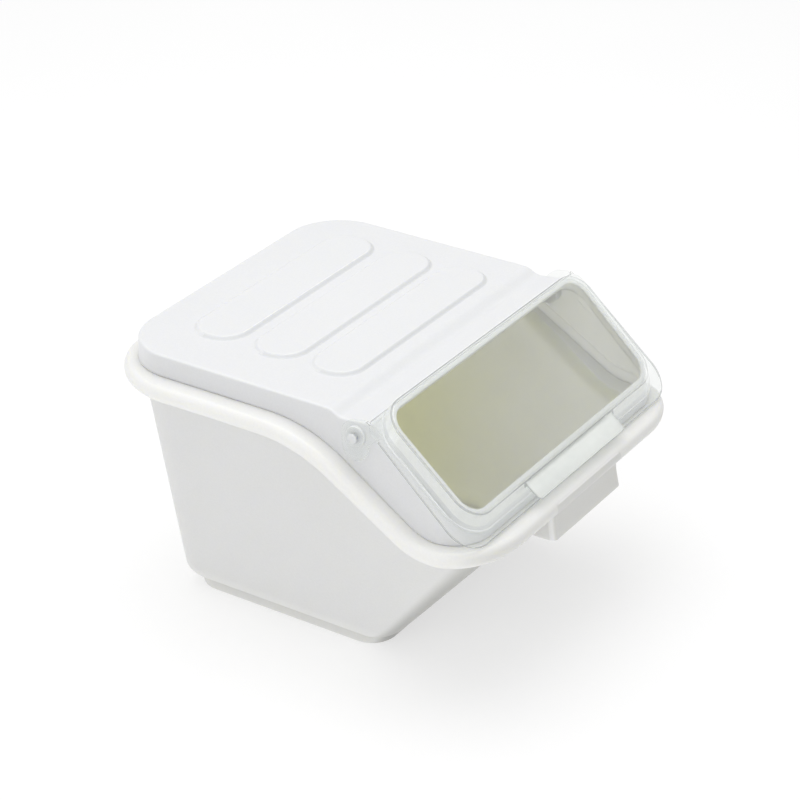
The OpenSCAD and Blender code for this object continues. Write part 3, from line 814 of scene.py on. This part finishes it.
def clear_plastic(name, tint=(0.86, 0.87, 0.865), face=0.05, edge=0.6, power=2.2, rough=0.07, gloss_min=0.035, painted_glow=0.0):
    """Clear moulded plastic: see-through, glossy, milkier where the wall turns edge-on, faintly scuffed, with an
    optional painted glow.
    """
    m, nt, out = new_material(name)
    L = nt.links.new
    math_ = lambda op, a, b: _math(nt, op, a, b)
    co = node(nt, "ShaderNodeTexCoord")
    haze = node(nt, "ShaderNodeTexNoise", ins={"Scale": 9.0, "Detail": 4.0, "Roughness": 0.6})
    L(co.outputs["Object"], haze.inputs["Vector"])
    mp = node(nt, "ShaderNodeMapping")
    mp.inputs["Scale"].default_value = (9.0, 190.0, 60.0)
    mp.inputs["Rotation"].default_value = (0.4, 0.3, 0.9)
    L(co.outputs["Object"], mp.inputs["Vector"])
    scr = node(nt, "ShaderNodeTexNoise", ins={"Scale": 3.0, "Detail": 5.0, "Roughness": 0.7, "Distortion": 0.3})
    L(mp.outputs["Vector"], scr.inputs["Vector"])
    ramp = node(nt, "ShaderNodeMapRange", ins={"From Min": 0.64, "From Max": 0.82, "To Min": 0.0, "To Max": 1.0})
    L(scr.outputs["Fac"], ramp.inputs["Value"])
    facing = node(nt, "ShaderNodeLayerWeight", ins={"Blend": 0.5}).outputs["Facing"]
    # surface texture
    rr = node(nt, "ShaderNodeMapRange", ins={"From Min": 0.3, "From Max": 0.7, "To Min": rough * 0.6, "To Max": rough * 1.6})
    L(haze.outputs["Fac"], rr.inputs["Value"])
    rough_v = math_("ADD", math_("MULTIPLY", ramp.outputs["Result"], 0.10), rr.outputs["Result"])
    bump = node(nt, "ShaderNodeBump", ins={"Strength": 0.25, "Distance": 0.0003})
    L(haze.outputs["Fac"], bump.inputs["Height"])
    # milky share: thin on the flat, thick where the view runs along the wall
    milk = math_("ADD", math_("MULTIPLY", math_("POWER", facing, power), edge), face)
    hz = node(nt, "ShaderNodeMapRange", ins={"From Min": 0.3, "From Max": 0.7, "To Min": 0.8, "To Max": 1.25})
    L(haze.outputs["Fac"], hz.inputs["Value"])
    milk = math_("ADD", math_("MULTIPLY", milk, hz.outputs["Result"]), math_("MULTIPLY", ramp.outputs["Result"], 0.05))
    milk = math_("MINIMUM", milk, 0.95)
    clear = node(nt, "ShaderNodeBsdfTransparent")
    clear.inputs["Color"].default_value = (0.985, 0.99, 0.986, 1)
    body = node(nt, "ShaderNodeBsdfPrincipled")
    body.inputs["Base Color"].default_value = (*tint, 1)
    body.inputs["IOR"].default_value = 1.49
    body.inputs["Emission Color"].default_value = (0.97, 1.0, 0.985, 1)
    body.inputs["Emission Strength"].default_value = painted_glow      # painted glow: emission standing in for light carried along inside the clear wall
    L(rough_v, body.inputs["Roughness"])
    L(bump.outputs["Normal"], body.inputs["Normal"])
    back = node(nt, "ShaderNodeBsdfTranslucent")
    back.inputs["Color"].default_value = (*tint, 1)
    mix0 = node(nt, "ShaderNodeMixShader", ins={"Fac": 0.45})
    L(body.outputs["BSDF"], mix0.inputs[1])
    L(back.outputs["BSDF"], mix0.inputs[2])
    mix1 = node(nt, "ShaderNodeMixShader")
    L(milk, mix1.inputs["Fac"])
    L(clear.outputs["BSDF"], mix1.inputs[1])
    L(mix0.outputs["Shader"], mix1.inputs[2])
    gloss = node(nt, "ShaderNodeBsdfGlossy")
    gloss.inputs["Color"].default_value = (0.95, 0.96, 0.96, 1)
    L(rough_v, gloss.inputs["Roughness"])
    L(bump.outputs["Normal"], gloss.inputs["Normal"])
    fres = math_("ADD", math_("MULTIPLY", math_("POWER", facing, 5.0), 0.7), gloss_min)
    mix2 = node(nt, "ShaderNodeMixShader")
    L(fres, mix2.inputs["Fac"])
    L(mix1.outputs["Shader"], mix2.inputs[1])
    L(gloss.outputs["BSDF"], mix2.inputs[2])
    L(mix2.outputs["Shader"], out.inputs["Surface"])
    return m


def _math(nt, op, a, b):
    n = nt.nodes.new("ShaderNodeMath")
    n.operation = op
    for i, v in enumerate((a, b)):
        if isinstance(v, (int, float)):
            n.inputs[i].default_value = v
        else:
            nt.links.new(v, n.inputs[i])
    return n.outputs[0]


def floor_material():
    m, nt, out = new_material("floor_pale")
    L = nt.links.new
    co = node(nt, "ShaderNodeTexCoord")
    n = node(nt, "ShaderNodeTexNoise", ins={"Scale": 3.0, "Detail": 2.0})
    L(co.outputs["Object"], n.inputs["Vector"])
    mr = node(nt, "ShaderNodeMapRange", ins={"To Min": 0.46, "To Max": 0.475})
    L(n.outputs["Fac"], mr.inputs["Value"])
    b = node(nt, "ShaderNodeBsdfPrincipled")
    L(mr.outputs["Result"], b.inputs["Base Color"])
    b.inputs["Roughness"].default_value = 0.9
    b.inputs["Specular IOR Level"].default_value = 0.1
    b.inputs["Emission Color"].default_value = (1, 1, 1, 1)
    b.inputs["Emission Strength"].default_value = 0.545
    L(b.outputs["BSDF"], out.inputs["Surface"])
    return m


# ------------------------------------------------------------------ assembly
tub = build_tub()
cover = build_cover()
lid = build_lid()
pin_l = build_pin("pin_left", -1)
pin_r = build_pin("pin_right", 1)

# painted shade: the tub's faces that look forward and down are darkened
white_tub = moulded("white_tub", (0.803, 0.803, 0.785), (0.782, 0.782, 0.76), 0.40, sss=0.6, painted_shade=0.44, foot_band_darkening=0.1)
# painted light and shade: a brighter, warmer copy of the tub's plastic for its inner faces, with a painted khaki shade
# low down and at the back
tub_inside_painted_light = moulded("tub_inside_painted_light", (0.955, 0.955, 0.885), (0.94, 0.94, 0.865), 0.45, coarse=5.0, sss=1.0, radius=(1.0, 0.98, 0.75), painted_tint=(0.965, 0.95, 0.58))
# painted light and shade: a brighter copy of the tub's plastic for the rim, its forward faces darkened
tub_rim_painted_light_and_shade = moulded("tub_rim_painted_light_and_shade", (0.85, 0.85, 0.838), (0.834, 0.834, 0.82), 0.36, sss=0.6, painted_shade=0.13, painted_shade_dir=(0.0, -1.0, 0.0))
# painted light and shade: a brighter copy of the tub's plastic for the grip, its forward faces darkened
tub_grip_painted_light_and_shade = moulded("tub_grip_painted_light_and_shade", (0.885, 0.885, 0.865), (0.865, 0.865, 0.845), 0.40, sss=0.6, reach=0.006, painted_shade=0.24, painted_shade_dir=(0.0, -1.0, 0.0))
# painted shade: the cover's faces turned to the left are darkened
white_cover = moulded("white_cover", (0.828, 0.833, 0.843), (0.812, 0.82, 0.83), 0.36, sss=0.35, reach=0.004, painted_shade=0.09, painted_shade_dir=(-0.95, -0.3, 0.0))
# painted light: a brighter, warmer copy of the cover's plastic for its underside and inner walls
cover_inside_painted_light = moulded("cover_inside_painted_light", (0.955, 0.955, 0.915), (0.94, 0.94, 0.895), 0.42, coarse=5.0, sss=1.0)
# painted light: a brighter copy of the cover's plastic on the collar, lightening its shade under the clear lid
collar_painted_light = moulded("collar_painted_light", (0.94, 0.94, 0.915), (0.92, 0.92, 0.895), 0.34, sss=0.6, reach=0.006)
# painted shade: a darker copy of the cover's plastic on the pads' sides
pad_side_painted_shade = moulded("pad_side_painted_shade", (0.765, 0.775, 0.785), (0.745, 0.755, 0.765), 0.36, sss=0.35, reach=0.004)
# the lid's clear plastic, with a painted glow
clear = clear_plastic("clear_lid", tint=(0.90, 0.91, 0.905), painted_glow=0.26)
# painted shade: a dark grey, more opaque copy of the clear plastic on the lid's thick edges, standing in for the dark
# lines refraction draws there
clear_painted_edge = clear_plastic("clear_lid_painted_edge", tint=(0.46, 0.475, 0.47), face=0.44, edge=0.5, power=1.3)
# painted highlight: a whiter, more opaque clear plastic on the cove at the wall's foot, standing in for the light line
# it catches
clear_foot_highlight = clear_plastic("clear_lid_foot_highlight", tint=(0.95, 0.96, 0.96), face=0.42, edge=0.5, power=1.5, gloss_min=0.06, painted_glow=0.2)
# the ears: clearer than the rest of the lid, with a faint painted glow to lighten their shade
clear_ear = clear_plastic("clear_lid_ear", tint=(0.90, 0.91, 0.905), face=0.03, edge=0.25, power=2.5, painted_glow=0.1)
# painted light: a brighter, glowing copy of the clear plastic on the finger tab, lightening the shade under it
clear_tab_painted_light = clear_plastic("clear_lid_tab_painted_light", tint=(0.95, 0.96, 0.94), face=0.28, edge=0.4, power=1.5, painted_glow=0.34)
# painted shade: the pins are a darker copy of the white plastic, matching the shaded skirt around them
pin_painted_shade = moulded("pin_plastic", (0.72, 0.73, 0.735), (0.69, 0.70, 0.705), 0.30, sss=0.6, reach=0.006)


def off_slope(c):
    """v down the slope and w off it for a point in mm."""
    y, z = c[1] - WIN_Y, c[2] - WIN_Z
    return -(y * CS + z * SN), -y * SN + z * CS


def from_edge(x, v, hw, v0, v1, r, taper=0.0):
    """Distance of (x, v) from a rounded rectangle's outline, negative inside it."""
    x = abs(x) / (1 - taper * (v1 - v)) if taper else abs(x)
    qx, qv = x - (hw - r), abs(v - (v0 + v1) / 2) - ((v1 - v0) / 2 - r)
    return math.hypot(max(qx, 0), max(qv, 0)) + min(max(qx, qv), 0) - r


def mark_cover(me):
    """Second material, a brighter warm copy with painted light, on the underside and inner walls; third, a brighter
    copy with painted light, on the collar; fourth, darker with painted shade, on the pads' sides.
    """
    for p in me.polygons:
        c = [q * 1000 for q in p.center]
        v, w = off_slope(c)
        n = p.normal
        inward = n.x * c[0] - (n.y * CS + n.z * SN) * v < 0
        if -10.5 < w < 0.5 and abs(c[0]) < 166 and -60.5 < v < 72 and (abs(c[0]) > 140 or v < -45 or v > 45):
            # painted light: the collar's brighter copy on its top and outer wall, the inside copy on its inner wall
            p.material_index = 2 if (w > -2.6 or not inward) else 1
        elif c[2] > TOP_Z + 0.08 and n.z < 0.975 and n.y < 0.12:
            # painted shade on the pads' sides, all but those facing back
            p.material_index = 3
        elif n.z < -0.35 or n.x * c[0] + n.y * (c[1] - 10) < -12:
            # the brighter warm inside copy, with painted light, on the underside and inner walls
            p.material_index = 1


def mark_lid(me):
    """Second material, with painted dark edge lines, on thick edges; third, with a painted highlight, on the foot of
    the wall; fourth on the ears; fifth, a brighter copy with painted light and glow, on the finger tab.
    """
    for p in me.polygons:
        c = [q * 1000 for q in p.center]
        v, w = off_slope(c)
        up = -p.normal.y * SN + p.normal.z * CS
        out = p.normal.x * c[0] - (p.normal.y * CS + p.normal.z * SN) * v
        if v > 63.6 and -3.6 < w < 2.2 and abs(c[0]) < 76.5:
            side = abs(p.normal.y * (-13.9) + p.normal.z * 17.3) / 22.2
            # painted dark edge lines on the tab's edges, the brighter copy with painted light on its faces
            p.material_index = 1 if side < 0.8 else 4
        elif abs(c[0]) > 169.3 and v < -44 and (w < -12.3 or v < -62.5 or abs(c[0]) > 172.7):
            # the clearer ear plastic with a faint painted glow
            p.material_index = 3
        elif v < -62.4:
            continue
        elif w > 0.8 and out > 0 and 0.12 < up < 0.8:
            # painted dark edge line round the panel's outer fillet
            p.material_index = 1
        elif -9.75 < w < -8.1 and 0.1 < up < 0.97 and out > 0:
            # painted highlight on the cove at the wall's foot
            p.material_index = 2
        elif -12.3 < w < -9.5 and from_edge(c[0], v, 180.9, -62.4, 82.5, 30, 0.000135) > -2.2 and abs(up) < 0.9:
            # painted dark edge line round the flange's edge
            p.material_index = 1


def mark_inside(me):
    """Second material, a brighter and warmer copy with painted light and shade, inside the tub; third, a brighter copy
    with painted light and painted shade on its front, on the rim; fourth, likewise, on the grip.
    """
    for p in me.polygons:
        x, y, z = (c * 1000 for c in p.center)
        n = p.normal
        h = z - FOOT_H
        front = max(-69 - 0.86 * h + 1.98, -176.6)
        top = float(sweep(np.array([y]))[0])
        if (2.2 < z < top - 0.5 and abs(x) < 130 + 0.149 * h - 1.5 and front < y < 162 + 0.108 * h - 1.5
                and (n.z > 0.5 and z < 40 or n.x * x + n.y * (y - 20) < 0)):
            # painted light and shade: the brighter, warmer inside copy on the tub's inner faces
            p.material_index = 1
        elif abs(x) < 61 and y < -196 and GRIP_Z - 1 < z < RIM_LOW - 3.5:
            # the grip's brighter copy, with painted shade on its front
            p.material_index = 3
        elif z > top - RIM_T - 0.6 and (n.z > 0.3 or from_edge(x, y, 130 + 0.149 * h, -69 - 0.86 * h, 162 + 0.108 * h, 20 + 0.104 * h) > 0.6):
            # the rim's brighter copy, with painted shade on its front
            p.material_index = 2


for ob, mats in ((tub, (white_tub, tub_inside_painted_light, tub_rim_painted_light_and_shade, tub_grip_painted_light_and_shade)), (cover, (white_cover, cover_inside_painted_light, collar_painted_light, pad_side_painted_shade)), (lid, (clear, clear_painted_edge, clear_foot_highlight, clear_ear, clear_tab_painted_light)), (pin_l, (pin_painted_shade,)), (pin_r, (pin_painted_shade,))):
    ob.data.materials.clear()
    for m in mats:
        ob.data.materials.append(m)

mark_inside(tub.data)
mark_cover(cover.data)
mark_lid(lid.data)
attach(tub, "bin"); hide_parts("bin_body")
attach(cover, "cover"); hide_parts("top_cover")
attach(lid, "lid"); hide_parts("flip_lid")
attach(pin_l, "cover"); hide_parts("hinge_pin_left")
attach(pin_r, "cover"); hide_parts("hinge_pin_right")

# ------------------------------------------------------------------ stage
bpy.ops.mesh.primitive_plane_add(size=12, location=(0, 0, 0))
floor = bpy.context.object
floor.name = "floor"
floor.data.materials.append(floor_material())

world = bpy.data.worlds.new("studio")
scene.world = world
world.use_nodes = True
bg = world.node_tree.nodes["Background"]
bg.inputs["Color"].default_value = (1.0, 1.0, 1.0, 1)
bg.inputs["Strength"].default_value = 0.62


def softbox(name, loc, target, size, power, color=(1, 1, 1)):
    l = bpy.data.lights.new(name, "AREA")
    l.shape, l.size, l.size_y, l.energy, l.color = "RECTANGLE", size[0], size[1], power, color
    o = bpy.data.objects.new(name, l)
    scene.collection.objects.link(o)
    o.location = loc
    o.rotation_euler = (Vector(target) - Vector(loc)).to_track_quat("-Z", "Y").to_euler()
    return o


softbox("top", (0.2, 0.3, 2.6), (0, 0, 0.2), (2.6, 2.6), 34.0)
softbox("left", (-2.2, -0.2, 1.3), (0, 0, 0.15), (1.6, 1.6), 9.0)
softbox("front", (0.6, -2.6, 1.2), (0, 0, 0.15), (1.8, 1.4), 1.2)

# ------------------------------------------------------------------ camera
az, el, roll = math.radians(56.28), math.radians(28.73), math.radians(-0.7)
fwd = Vector((math.sin(az) * math.cos(el), math.cos(az) * math.cos(el), -math.sin(el)))
right = Vector((math.cos(az), -math.sin(az), 0))
up = right.cross(fwd)
cr = math.cos(roll) * right + math.sin(roll) * up
cu = -math.sin(roll) * right + math.cos(roll) * up
cd = bpy.data.cameras.new("camera")
cam = bpy.data.objects.new("camera", cd)
scene.collection.objects.link(cam)
cd.sensor_width, cd.lens = 36.0, 118.35
cd.clip_start, cd.clip_end = 0.1, 50
loc = Vector((-1.7728, -1.1877, 1.3548))
cam.matrix_world = Matrix(((cr.x, cu.x, -fwd.x, loc.x), (cr.y, cu.y, -fwd.y, loc.y), (cr.z, cu.z, -fwd.z, loc.z), (0, 0, 0, 1)))
scene.camera = cam
scene.view_settings.view_transform = "Standard"
scene.view_settings.look = "None"
